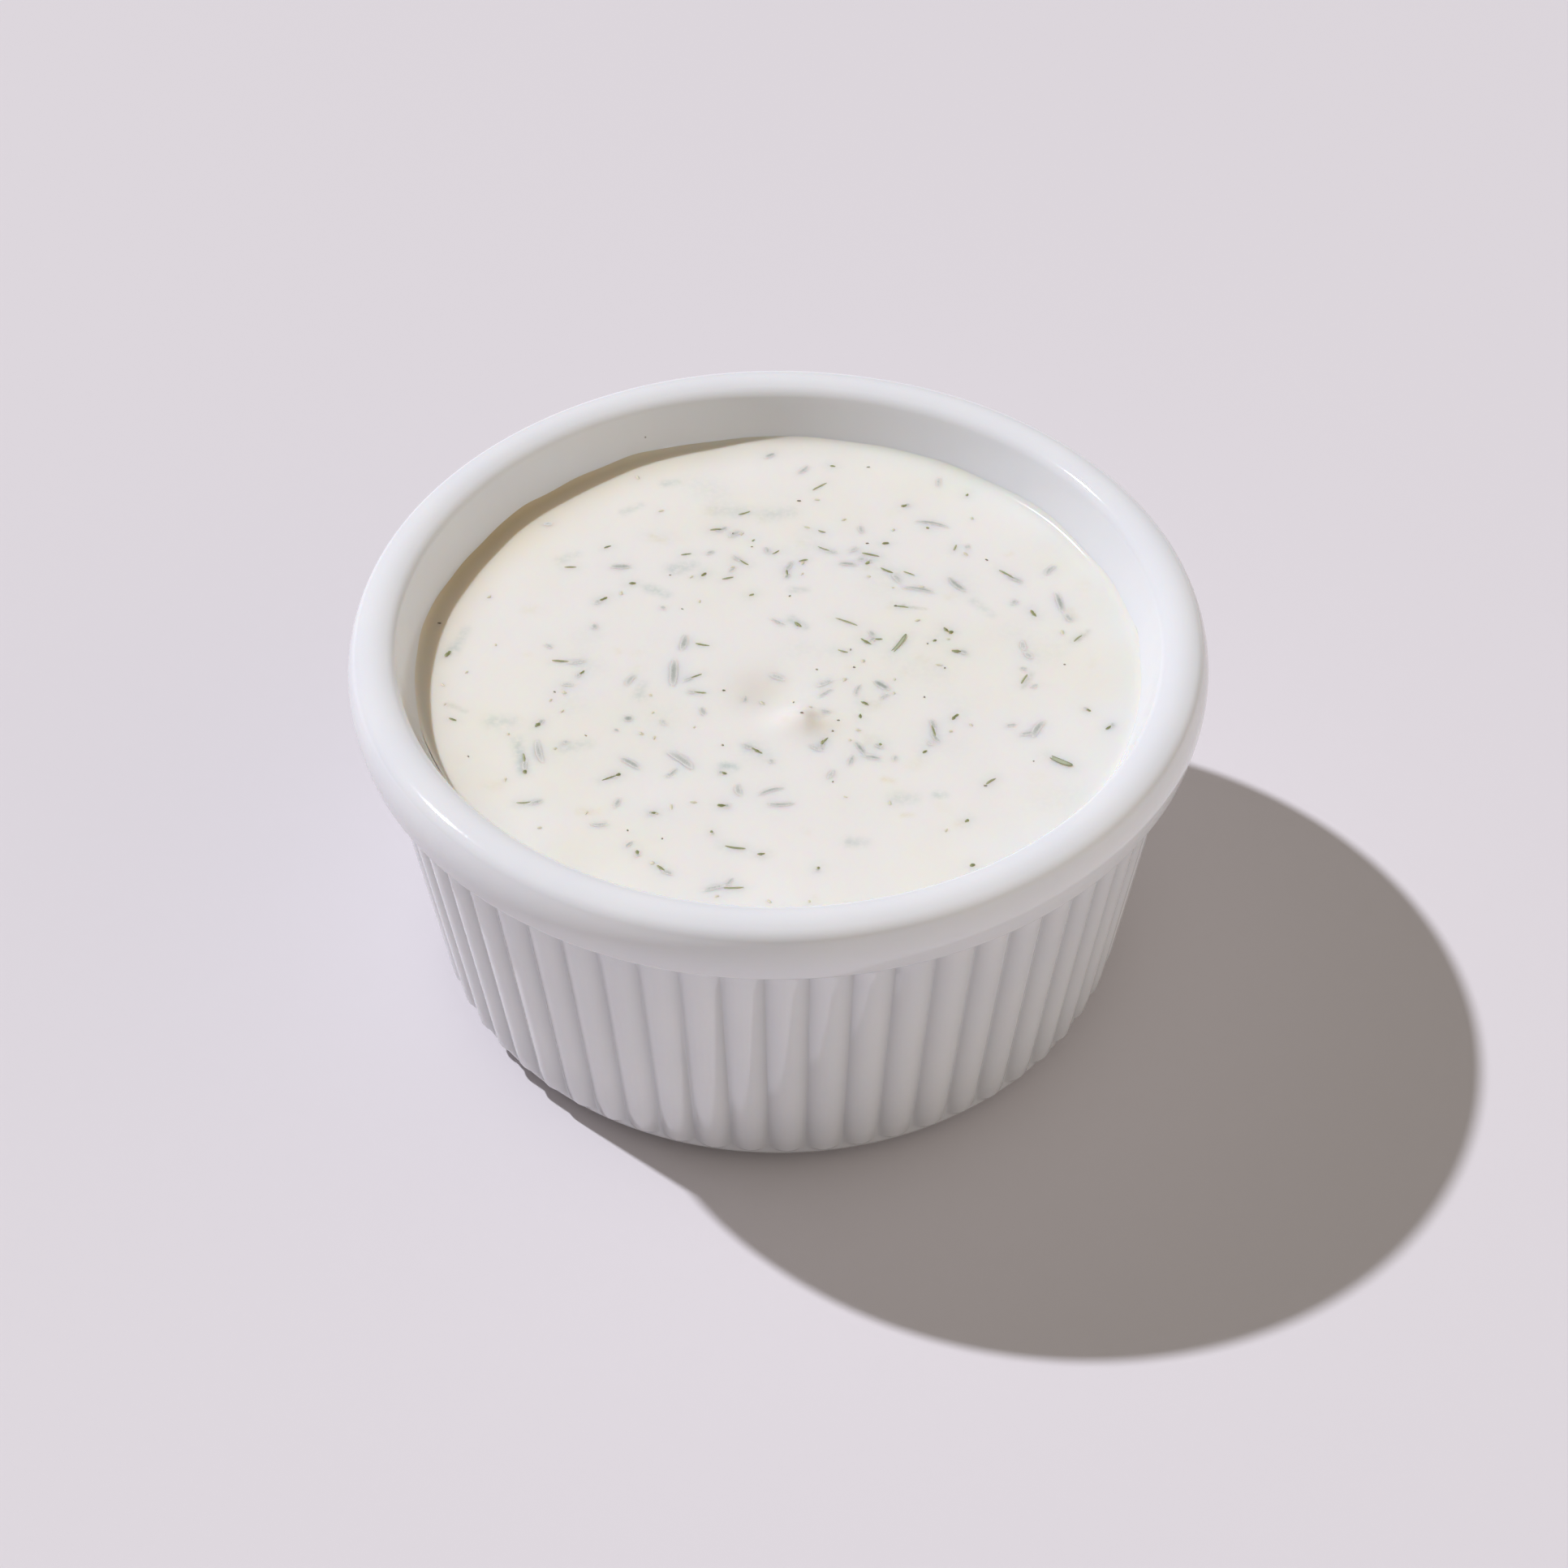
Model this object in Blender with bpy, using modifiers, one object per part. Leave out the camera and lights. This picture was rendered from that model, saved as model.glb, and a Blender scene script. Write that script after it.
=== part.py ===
"""Tzatziki dip in a ribbed round ramekin, at real size, in metres with +Z up.

The origin is on the table at the centre of the dish's foot. The dish is turned from one profile, and
a ring with a lobed inside wall then carves the upright ribs out of its outer wall. The dip is a
turned solid that fills the dish up to the level where it is served.
"""

import math

import bpy
import numpy as np

# --- Driving dimensions, in metres ---------------------------------------------------------------

HEIGHT = 0.0438             # table to the top of the rim
RIM_RADIUS = 0.0450         # outside of the rim band
RIM_WIDTH = 0.0055          # outside to inside, over the rim's top
RIM_CORNER = 0.0018         # both upper corners of the rim

BAND_DEPTH = 0.0064         # the plain band under the rim, from the top down
BAND_TAPER = 0.0004         # how much narrower the band is at its lower edge
BAND_EDGE = 0.0007          # rounding of the band's lower edge

BODY_TOP_RADIUS = 0.0426    # rib crests just under the band
BODY_LOW_RADIUS = 0.0377    # rib crests where the base rounding starts
BASE_ROUNDING = 0.0033      # radius between the body's side and its underside
FOOT_RADIUS = 0.0338        # plain foot that stands on the table
FOOT_HEIGHT = 0.0009
FOOT_WIDTH = 0.0036         # width of the foot ring
FOOT_EDGE = 0.0003          # rounding of the foot's outer edge

RIB_COUNT = 60
RIB_DEPTH = 0.00045         # crest to the bottom of the groove between two ribs
RIB_END = 72.0              # degrees round the base rounding where the ribs have died away
RIB_STEPS = 4               # straight facets across one rib
RIB_PHASE = math.radians(268.1)   # direction of one groove, counted from +X

FLOOR_THICKNESS = 0.0048    # the dish's floor, from the table
INNER_FLOOR_RADIUS = 0.0339  # inside wall, extended down to the floor
INNER_FILLET = 0.0060       # rounding between the inside wall and the floor
LIP_HEIGHT = 0.0375         # above this height the inside wall flares out to the rim
LIP_RADIUS = 0.0378         # inside wall at that height

DIP_LEVEL = 0.0380          # where the dip meets the wall
DIP_CROWN = 0.0002          # how much higher the dip lies in the middle
DIP_GAP = 0.0003            # clearance between the dip and the dish

NUB_PLACE = (0.0022, -0.0084)     # small peak left by the last drop
NUB_HEIGHT = 0.0007
NUB_SPREAD = 0.0019
DIMPLE_PLACE = (-0.0020, -0.0026)  # soft hollow beside the peak
DIMPLE_DEPTH = 0.0004
DIMPLE_SPREAD = 0.0030

DISH_STEPS = 80             # straight facets around the dish
DIP_STEPS = 60              # straight facets around the dip
MERGE = 0.00001             # merge distance, far under any detail

PORCELAIN = (0.80, 0.79, 0.81, 1.0)
CREAM = (0.86, 0.84, 0.80, 1.0)


# --- Helpers -------------------------------------------------------------------------------------

def clear_scene():
    """Remove every object that the new file starts with."""
    for thing in list(bpy.data.objects):
        bpy.data.objects.remove(thing, do_unlink=True)


def new_collection(name):
    """Make a collection in the scene and return it."""
    collection = bpy.data.collections.new(name)
    bpy.context.scene.collection.children.link(collection)
    return collection


def new_material(name, colour, roughness):
    """Make a plain non-metallic Principled material."""
    material = bpy.data.materials.new(name)
    material.use_nodes = True
    material.diffuse_color = colour
    shader = material.node_tree.nodes["Principled BSDF"]
    shader.inputs["Base Color"].default_value = colour
    shader.inputs["Roughness"].default_value = roughness
    shader.inputs["Metallic"].default_value = 0.0
    return material


def arc(centre, radius, start, end, steps):
    """Points (radius, height) on an arc, from one angle in degrees to another, ends included."""
    angles = np.radians(np.linspace(start, end, steps + 1))
    return [(centre[0] + radius * math.cos(a), centre[1] + radius * math.sin(a)) for a in angles]


def turned(name, profile, steps, collection):
    """Turn a profile of (radius, height) points about Z; it runs down the shape's outer side."""
    mesh = bpy.data.meshes.new(name)
    points = [(radius, 0.0, height) for radius, height in profile]
    edges = [(i, i + 1) for i in range(len(points) - 1)]
    mesh.from_pydata(points, edges, [])
    thing = bpy.data.objects.new(name, mesh)
    collection.objects.link(thing)
    screw = thing.modifiers.new("Turn", "SCREW")
    screw.axis = "Z"
    screw.steps = steps
    screw.render_steps = steps
    screw.use_merge_vertices = True
    screw.merge_threshold = MERGE
    screw.use_smooth_shade = True
    return thing


def inner_wall_radius(height):
    """Radius of the dish's inside wall: a cone up to the lip, then a wider cone to the rim."""
    heights = (FLOOR_THICKNESS, LIP_HEIGHT, HEIGHT - RIM_CORNER)
    radii = (INNER_FLOOR_RADIUS, LIP_RADIUS, RIM_RADIUS - RIM_WIDTH)
    return float(np.interp(height, heights, radii))


def inner_corner(inset):
    """Fillet between the floor and the inside wall, for a surface this far inside the wall."""
    slope = math.atan2(LIP_RADIUS - INNER_FLOOR_RADIUS, LIP_HEIGHT - FLOOR_THICKNESS)
    centre_height = FLOOR_THICKNESS + INNER_FILLET
    centre_radius = inner_wall_radius(centre_height) - INNER_FILLET / math.cos(slope)
    return arc((centre_radius, centre_height), INNER_FILLET - inset, -90, -math.degrees(slope), 5)


# --- The dish ------------------------------------------------------------------------------------

def dish_profile():
    """Inside floor, inside wall, rim, band, the plain side before carving, and the foot."""
    shoulder = HEIGHT - RIM_CORNER
    inner_centre = (RIM_RADIUS - RIM_WIDTH + RIM_CORNER, shoulder)
    outer_centre = (RIM_RADIUS - RIM_CORNER, shoulder)

    edge_radius = RIM_RADIUS - BAND_TAPER
    edge_height = HEIGHT - BAND_DEPTH
    edge_centre = (edge_radius - BAND_EDGE, edge_height + BAND_EDGE)
    blank_radius = edge_centre[0]

    foot_edge = arc((FOOT_RADIUS - FOOT_EDGE, FOOT_EDGE), FOOT_EDGE, 0, -90, 2)
    foot_inside = FOOT_RADIUS - FOOT_WIDTH
    flare = math.degrees(math.atan2(inner_wall_radius(shoulder) - LIP_RADIUS, shoulder - LIP_HEIGHT))
    return (
        [(0.0, FLOOR_THICKNESS)]
        + inner_corner(0.0)
        + [(LIP_RADIUS, LIP_HEIGHT)]
        + arc(inner_centre, RIM_CORNER, 180 + flare, 90, 5)
        + arc(outer_centre, RIM_CORNER, 90, 0, 4)
        + arc(edge_centre, BAND_EDGE, 0, -90, 3)
        + [(blank_radius, FOOT_HEIGHT), (FOOT_RADIUS, FOOT_HEIGHT)]
        + foot_edge
        + [(foot_inside, 0.0), (foot_inside - FOOT_EDGE, FOOT_HEIGHT), (0.0, FOOT_HEIGHT)]
    )


def crest_profile():
    """(radius of the crests, groove depth, height) of the ribs, from under the band to the foot."""
    under_band = HEIGHT - BAND_DEPTH + BAND_EDGE * 0.1
    rows = [(BODY_TOP_RADIUS, RIB_DEPTH, under_band)]
    centre = (BODY_LOW_RADIUS - BASE_ROUNDING, FOOT_HEIGHT + BASE_ROUNDING)
    rounding = arc(centre, BASE_ROUNDING, 0, -RIB_END, 4)
    for step, (crest, height) in enumerate(rounding):
        share = step / (len(rounding) - 1)
        rows.append((crest, RIB_DEPTH * (1 - share ** 2), height))
    rows.append((rounding[-1][0], 0.0, -FOOT_HEIGHT))
    return rows


def carving_ring(collection):
    """A closed ring whose inside wall has the shape of the ribs, and whose outside is plain."""
    columns = RIB_COUNT * RIB_STEPS
    column = np.arange(columns)
    angle = RIB_PHASE + column * 2 * math.pi / columns
    across = 2.0 * (column % RIB_STEPS) / RIB_STEPS - 1.0
    lobe = across ** 2                        # 0 on a rib's crest, 1 at the groove beside it
    rows = crest_profile()
    outside = RIM_RADIUS + BASE_ROUNDING

    loops = [(crest - depth * lobe, height) for crest, depth, height in rows]
    loops.append((np.full(columns, outside), rows[-1][2]))
    loops.append((np.full(columns, outside), rows[0][2]))

    points = []
    for radius, height in loops:
        x, y = radius * np.cos(angle), radius * np.sin(angle)
        points += [(float(a), float(b), height) for a, b in zip(x, y)]
    faces = []
    for loop in range(len(loops)):
        this, after = loop * columns, (loop + 1) % len(loops) * columns
        for i in range(columns):
            j = (i + 1) % columns
            faces.append((this + i, this + j, after + j, after + i))

    mesh = bpy.data.meshes.new("rib_carving_ring")
    mesh.from_pydata(points, [], faces)
    ring = bpy.data.objects.new("rib_carving_ring", mesh)
    ring.display_type = "WIRE"
    ring.hide_render = True
    collection.objects.link(ring)
    return ring


def make_ramekin(parts, cutters):
    """Turn the dish, then carve its ribs."""
    dish = turned("ramekin", dish_profile(), DISH_STEPS, parts)
    dish.data.materials.append(new_material("white_glaze", PORCELAIN, 0.12))
    carve = dish.modifiers.new("Ribs", "BOOLEAN")
    carve.operation = "DIFFERENCE"
    carve.solver = "EXACT"
    carve.object = carving_ring(cutters)
    return dish


# --- The dip -------------------------------------------------------------------------------------

def bump(x, y, place, height, spread):
    """A round bump, or a hollow where height is negative, that fades as a bell curve."""
    distance = (x - place[0]) ** 2 + (y - place[1]) ** 2
    return height * np.exp(-distance / (2 * spread ** 2))


def dip_profile():
    """Surface rings, close together around the peak, then the side and the underside."""
    edge = inner_wall_radius(DIP_LEVEL) - DIP_GAP
    reach = math.hypot(*NUB_PLACE) + 3 * NUB_SPREAD
    rings = np.linspace(0.0, reach, 9).tolist() + [(reach + edge) / 2, edge]
    surface = [(radius, DIP_LEVEL + DIP_CROWN * (1 - (radius / edge) ** 2)) for radius in rings]
    side = [(LIP_RADIUS - DIP_GAP, LIP_HEIGHT)]
    underside = inner_corner(DIP_GAP)[::-1]
    return surface + side + underside + [(0.0, FLOOR_THICKNESS + DIP_GAP)]


def make_dip(parts):
    """Turn the dip, then raise its peak and press in the hollow beside it."""
    blank = turned("dip_blank", dip_profile(), DIP_STEPS, parts)
    depsgraph = bpy.context.evaluated_depsgraph_get()
    mesh = bpy.data.meshes.new_from_object(blank.evaluated_get(depsgraph))
    bpy.data.objects.remove(blank, do_unlink=True)

    points = np.empty(len(mesh.vertices) * 3)
    mesh.vertices.foreach_get("co", points)
    points = points.reshape(-1, 3)
    x, y, z = points.T
    relief = bump(x, y, NUB_PLACE, NUB_HEIGHT, NUB_SPREAD)
    relief += bump(x, y, DIMPLE_PLACE, -DIMPLE_DEPTH, DIMPLE_SPREAD)
    on_top = z > DIP_LEVEL - DIP_GAP
    points[:, 2] = np.where(on_top, z + relief, z)
    mesh.vertices.foreach_set("co", points.ravel())
    mesh.update()

    mesh.name = "dip"
    dip = bpy.data.objects.new("dip", mesh)
    dip.data.materials.clear()
    dip.data.materials.append(new_material("cream_dip", CREAM, 0.35))
    parts.objects.link(dip)
    return dip


def main():
    """Build the dish and what it holds."""
    clear_scene()
    parts = new_collection("tzatziki_dip")
    cutters = new_collection("cutters")
    make_ramekin(parts, cutters)
    make_dip(parts)


main()
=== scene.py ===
"""Looks of a white ribbed ramekin filled with tzatziki, a creamy yogurt dip with chopped dill.

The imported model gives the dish's and the dip's place and size. The glazed dish, the dip's surface and
the bits in it are built here as fine meshes. Lengths are in metres, and MM turns millimetres into them.
"""

import logging
import math
from dataclasses import dataclass, field
from enum import Enum

import bpy
import numpy as np
from mathutils import Matrix, Vector
from numpy.typing import NDArray

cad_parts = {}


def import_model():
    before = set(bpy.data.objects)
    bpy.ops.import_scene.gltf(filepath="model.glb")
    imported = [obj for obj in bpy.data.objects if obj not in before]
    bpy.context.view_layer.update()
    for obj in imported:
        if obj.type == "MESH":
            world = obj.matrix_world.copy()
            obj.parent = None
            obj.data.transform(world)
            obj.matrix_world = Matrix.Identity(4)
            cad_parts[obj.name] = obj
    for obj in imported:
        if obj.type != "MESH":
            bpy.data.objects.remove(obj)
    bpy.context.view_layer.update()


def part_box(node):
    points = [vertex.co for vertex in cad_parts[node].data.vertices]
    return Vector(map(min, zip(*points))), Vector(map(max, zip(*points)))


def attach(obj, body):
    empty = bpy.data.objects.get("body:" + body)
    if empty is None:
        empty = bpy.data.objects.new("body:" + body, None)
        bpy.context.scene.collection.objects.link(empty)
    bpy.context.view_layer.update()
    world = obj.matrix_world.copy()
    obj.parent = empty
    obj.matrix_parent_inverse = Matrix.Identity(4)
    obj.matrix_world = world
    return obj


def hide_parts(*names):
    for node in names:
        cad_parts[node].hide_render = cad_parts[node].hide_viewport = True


LOG = logging.getLogger("tzatziki")
MM = 0.001
TAU = 2 * math.pi

Floats = NDArray[np.float64]
Ints = NDArray[np.int64]
Colour = tuple[float, float, float]


# --- Meshes --------------------------------------------------------------------------------------

def tube_faces(rows: int, columns: int) -> Ints:
    """Quads of a tube whose last column meets its first.

    Args:
        rows: rings along the tube, listed in the direction that runs down its outer side.
        columns: points on each ring, counted anticlockwise.

    Returns:
        One row of four vertex numbers for each face, with the faces pointing out.
    """
    ring = np.arange(rows - 1)[:, None] * columns
    here = np.arange(columns)[None, :]
    after = (here + 1) % columns
    quads = [ring + here, ring + columns + here, ring + columns + after, ring + after]
    return np.stack(quads, -1).reshape(-1, 4)


def pole_faces(pole: int, first: int, columns: int, at_start: bool) -> Ints:
    """Triangles that close a tube's end on one point.

    Args:
        pole: the closing point's vertex number.
        first: vertex number of the end ring's first point.
        columns: points on that ring.
        at_start: True where the pole comes before the first ring.

    Returns:
        One row of three vertex numbers for each face.
    """
    here = first + np.arange(columns)
    after = first + (np.arange(columns) + 1) % columns
    tip = np.full(columns, pole)
    return np.stack([tip, here, after] if at_start else [here, tip, after], -1)


def smooth_mesh(name: str, points: Floats, faces: list[Ints], marks: dict[str, Floats],
                material: bpy.types.Material) -> bpy.types.Object:
    """Put points and faces into a smooth object at the origin.

    Args:
        name: the piece's name.
        points: one row of x, y, z for each vertex.
        faces: arrays of vertex numbers, each with its own count of corners.
        marks: one value for each vertex, by attribute name.
        material: the piece's finish.

    Returns:
        The new object, linked to the scene.
    """
    mesh = bpy.data.meshes.new(name)
    mesh.from_pydata(points.tolist(), [], [face for group in faces for face in group.tolist()])
    for mark, values in marks.items():
        layer = mesh.attributes.new(mark, "FLOAT", "POINT")
        layer.data.foreach_set("value", values.astype(np.float32))
    mesh.materials.append(material)
    mesh.shade_smooth()
    piece = bpy.data.objects.new(name, mesh)
    bpy.context.scene.collection.objects.link(piece)
    return piece


def seat(piece: bpy.types.Object, stands_for: str = "") -> None:
    """Tie a piece to the frame.

    Args:
        piece: the new piece.
        stands_for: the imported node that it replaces, if any.
    """
    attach(piece, "root")
    if stands_for:
        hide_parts(stands_for)
    faces = sum(len(face.vertices) - 2 for face in piece.data.polygons)
    LOG.info("%s: %d triangles", piece.name, faces)


def ease(values: Floats, start: float, end: float) -> Floats:
    """Smooth step from 0 at start to 1 at end."""
    share = np.clip((values - start) / (end - start), 0.0, 1.0)
    return share * share * (3 - 2 * share)


def soft_max(first: Floats, second: Floats, softness: float) -> Floats:
    """The larger of two arrays, with the crease between them rounded off."""
    gap = first - second
    return 0.5 * (first + second + np.sqrt(gap * gap + softness * softness) - softness)


@dataclass(frozen=True)
class Turn:
    """A corner of a turned profile, how it is rounded, and how fine the run after it is."""

    radius: float
    height: float
    rounding: float = 0.0
    steps: int = 1
    spacing: float = 40 * MM


def outline(turns: list[Turn]) -> Floats:
    """Points of a profile with rounded corners.

    Each inner corner becomes an arc that touches both of its sides, at the distance
    rounding / tan(half the angle) from the corner. The straight runs between are cut evenly.

    Args:
        turns: the corners in order; the first and last are the profile's ends.

    Returns:
        One row of radius and height for each point.
    """
    places = np.array([(turn.radius, turn.height) for turn in turns])
    points: list[Floats] = [places[:1]]
    for index, turn in enumerate(turns[1:], 1):
        if index == len(turns) - 1:
            arc = places[-1:]
        else:
            back = places[index - 1] - places[index]
            ahead = places[index + 1] - places[index]
            back, ahead = back / np.linalg.norm(back), ahead / np.linalg.norm(ahead)
            half = 0.5 * math.acos(float(np.clip(back @ ahead, -1, 1)))
            reach = turn.rounding / math.tan(half)
            bisector = (back + ahead) / np.linalg.norm(back + ahead)
            centre = places[index] + bisector * turn.rounding / math.sin(half)
            spokes = np.stack([places[index] + back * reach, places[index] + ahead * reach]) - centre
            angles = np.arctan2(spokes[:, 1], spokes[:, 0])
            sweep = (angles[1] - angles[0] + math.pi) % TAU - math.pi
            turned = angles[0] + sweep * np.linspace(0, 1, turn.steps + 1)
            arc = centre + turn.rounding * np.stack([np.cos(turned), np.sin(turned)], -1)
        run = arc[0] - points[-1][-1]
        cuts = max(1, math.ceil(float(np.linalg.norm(run)) / turns[index - 1].spacing))
        shares = np.linspace(0, 1, cuts + 1)[1:-1, None]
        points += [points[-1][-1] + run * shares, arc]
    return np.concatenate(points)


# --- Finishes ------------------------------------------------------------------------------------

class Bench:
    """Adds nodes to one Principled material and joins them."""

    def __init__(self, name: str) -> None:
        """Start a material with only its Principled shader."""
        self.material = bpy.data.materials.new(name)
        self.material.use_nodes = True
        self.tree = self.material.node_tree
        self.shader = self.tree.nodes["Principled BSDF"]

    def node(self, kind: str, **settings: object) -> bpy.types.Node:
        """Add a node; settings name its properties, or its sockets with _ for spaces."""
        made = self.tree.nodes.new(kind)
        for name, value in settings.items():
            if name in {p.identifier for p in made.bl_rna.properties}:
                setattr(made, name, value)
            else:
                made.inputs[name.replace("_", " ")].default_value = value
        return made

    def join(self, source: bpy.types.NodeSocket, target: bpy.types.NodeSocket) -> None:
        """Link one socket to another."""
        self.tree.links.new(source, target)

    def set(self, **values: object) -> None:
        """Set the shader's own sockets, with _ for spaces in their names."""
        for name, value in values.items():
            self.shader.inputs[name.replace("_", " ")].default_value = value

    def object_noise(self, scale: float, detail: float = 2.0, roughness: float = 0.5) -> bpy.types.Node:
        """Noise in the piece's own space, with scale in features for each metre."""
        place = self.node("ShaderNodeTexCoord")
        noise = self.node("ShaderNodeTexNoise", Scale=scale, Detail=detail, Roughness=roughness)
        self.join(place.outputs["Object"], noise.inputs["Vector"])
        return noise

    def mark(self, name: str) -> bpy.types.NodeSocket:
        """The value of one of the piece's vertex attributes."""
        return self.node("ShaderNodeAttribute", attribute_name=name).outputs["Fac"]

    def ramp(self, source: bpy.types.NodeSocket, low: float, high: float) -> bpy.types.NodeSocket:
        """Spread a value so that low becomes 0 and high becomes 1."""
        spread = self.node("ShaderNodeMapRange", clamp=True)
        spread.inputs["From Min"].default_value = low
        spread.inputs["From Max"].default_value = high
        self.join(source, spread.inputs["Value"])
        return spread.outputs["Result"]

    def scaled(self, source: bpy.types.NodeSocket, factor: float) -> bpy.types.NodeSocket:
        """A value times a constant."""
        times = self.node("ShaderNodeMath", operation="MULTIPLY")
        times.inputs[1].default_value = factor
        self.join(source, times.inputs[0])
        return times.outputs[0]

    def blend(self, share: bpy.types.NodeSocket, under: object, over: object) -> bpy.types.NodeSocket:
        """Mix two colours, each a socket or a constant, by a share from 0 to 1."""
        mix = self.node("ShaderNodeMix", data_type="RGBA", clamp_factor=True)
        self.join(share, mix.inputs["Factor"])
        for value, socket in ((under, mix.inputs[6]), (over, mix.inputs[7])):
            if isinstance(value, bpy.types.NodeSocket):
                self.join(value, socket)
            else:
                socket.default_value = (*value, 1.0)
        return mix.outputs[2]

    def relief(self, source: bpy.types.NodeSocket, depth: float, strength: float = 1.0) -> None:
        """Bump the surface by a value, with depth in metres, over any relief set before."""
        bump = self.node("ShaderNodeBump", Strength=strength, Distance=depth)
        self.join(source, bump.inputs["Height"])
        normal = self.shader.inputs["Normal"]
        if normal.is_linked:
            self.join(normal.links[0].from_socket, bump.inputs["Normal"])
        self.join(bump.outputs["Normal"], normal)


@dataclass(frozen=True)
class GlazeFinish:
    """Glossy white glaze with fine orange peel and pinholes, and painted shade: a darker grey laid into the
    grooves and towards the foot.
    """

    white: Colour = (0.83, 0.83, 0.85)
    drift: Colour = (0.805, 0.81, 0.84)
    painted_shade_grey: Colour = (0.60, 0.60, 0.62)
    pinhole: Colour = (0.42, 0.40, 0.38)
    roughness: float = 0.06
    peel_depth: float = 0.006 * MM
    wave_depth: float = 0.03 * MM

    def make(self) -> bpy.types.Material:
        """Build the glaze.

        Returns:
            The material, which reads the piece's painted-shade attribute, darker in the grooves and towards the
            foot.
        """
        bench = Bench("white_glaze")
        cloud = bench.ramp(bench.object_noise(90, 3).outputs["Fac"], 0.35, 0.65)
        colour = bench.blend(cloud, self.white, self.drift)
        # Painted shade: the grooves and the lower body are mixed towards a darker grey.
        colour = bench.blend(bench.mark("painted_shade"), colour, self.painted_shade_grey)
        place = bench.node("ShaderNodeTexCoord")
        cells = bench.node("ShaderNodeTexVoronoi", Scale=95.0, Randomness=1.0)
        bench.join(place.outputs["Object"], cells.inputs["Vector"])
        dot = bench.ramp(cells.outputs["Distance"], 0.014, 0.008)
        colour = bench.blend(dot, colour, self.pinhole)
        bench.join(colour, bench.shader.inputs["Base Color"])
        bench.relief(bench.object_noise(260, 2).outputs["Fac"], self.wave_depth)
        bench.relief(bench.object_noise(1900, 2).outputs["Fac"], self.peel_depth)
        bench.set(Roughness=self.roughness, IOR=1.7, Subsurface_Weight=0.2,
                  Subsurface_Radius=(1.0, 0.6, 0.4), Subsurface_Scale=1.1 * MM)
        return bench.material


@dataclass(frozen=True)
class CreamFinish:
    """Smooth wet yogurt cream that lets a little warm light through."""

    cream: Colour = (0.828, 0.802, 0.765)
    butter: Colour = (0.825, 0.797, 0.72)
    painted_tan_shade: Colour = (0.64, 0.52, 0.345)
    sunk: Colour = (0.34, 0.44, 0.41)
    skinned: Colour = (0.36, 0.37, 0.24)
    fat: Colour = (0.70, 0.62, 0.40)
    roughness: float = 0.26
    wet_roughness: float = 0.12
    glow: float = 3.2 * MM

    def make(self) -> bpy.types.Material:
        """Build the cream.

        Returns:
            The material, which reads the painted tan shade attribute and the attributes "sunk", "skinned", "fat"
            and "depth".
        """
        bench = Bench("cream_dip")
        cloud = bench.ramp(bench.object_noise(70, 2).outputs["Fac"], 0.45, 0.75)
        colour = bench.blend(cloud, self.cream, self.butter)
        # Painted shade: a warm tan where the rim's shadow falls on the cream and on the shaded slopes of the
        # hollow and the peak.
        colour = bench.blend(bench.mark("painted_tan_shade"), colour, self.painted_tan_shade)
        patches = bench.ramp(bench.object_noise(1500, 2).outputs["Fac"], 0.15, 0.6)
        for mark, tint in (("sunk", self.sunk), ("skinned", self.skinned), ("fat", self.fat)):
            share = bench.node("ShaderNodeMath", operation="MULTIPLY")
            bench.join(bench.mark(mark), share.inputs[0])
            bench.join(patches, share.inputs[1])
            colour = bench.blend(share.outputs[0], colour, tint)
        bench.join(colour, bench.shader.inputs["Base Color"])
        bench.relief(bench.object_noise(420, 3).outputs["Fac"], 0.02 * MM)
        bench.join(bench.scaled(bench.mark("depth"), self.glow), bench.shader.inputs["Subsurface Scale"])
        wet = bench.node("ShaderNodeMapRange")
        wet.inputs["To Min"].default_value = self.wet_roughness
        wet.inputs["To Max"].default_value = self.roughness
        bench.join(bench.mark("depth"), wet.inputs["Value"])
        bench.join(wet.outputs["Result"], bench.shader.inputs["Roughness"])
        bench.set(IOR=1.38, Subsurface_Weight=0.9, Subsurface_Radius=(1.0, 0.65, 0.4))
        return bench.material


@dataclass(frozen=True)
class BitFinish:
    """A bit in the dip: its middle and edge colours in a light and a dark tone."""

    name: str
    light: Colour
    dark: Colour
    edge: Colour
    roughness: float = 0.45
    subsurface: float = 0.0

    def make(self) -> bpy.types.Material:
        """Build the finish.

        Returns:
            The material, which reads the "tone" and "edge" attributes.
        """
        bench = Bench(self.name)
        colour = bench.blend(bench.mark("tone"), self.light, self.dark)
        grain = bench.ramp(bench.object_noise(5000, 2).outputs["Fac"], 0.3, 0.7)
        colour = bench.blend(bench.scaled(grain, 0.35), colour, self.dark)
        colour = bench.blend(bench.mark("edge"), colour, self.edge)
        bench.join(colour, bench.shader.inputs["Base Color"])
        bench.relief(grain, 0.03 * MM)
        bench.set(Roughness=self.roughness, Subsurface_Weight=self.subsurface,
                  Subsurface_Radius=(1.0, 0.8, 0.4), Subsurface_Scale=0.6 * MM)
        return bench.material


# --- The dish ------------------------------------------------------------------------------------

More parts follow.
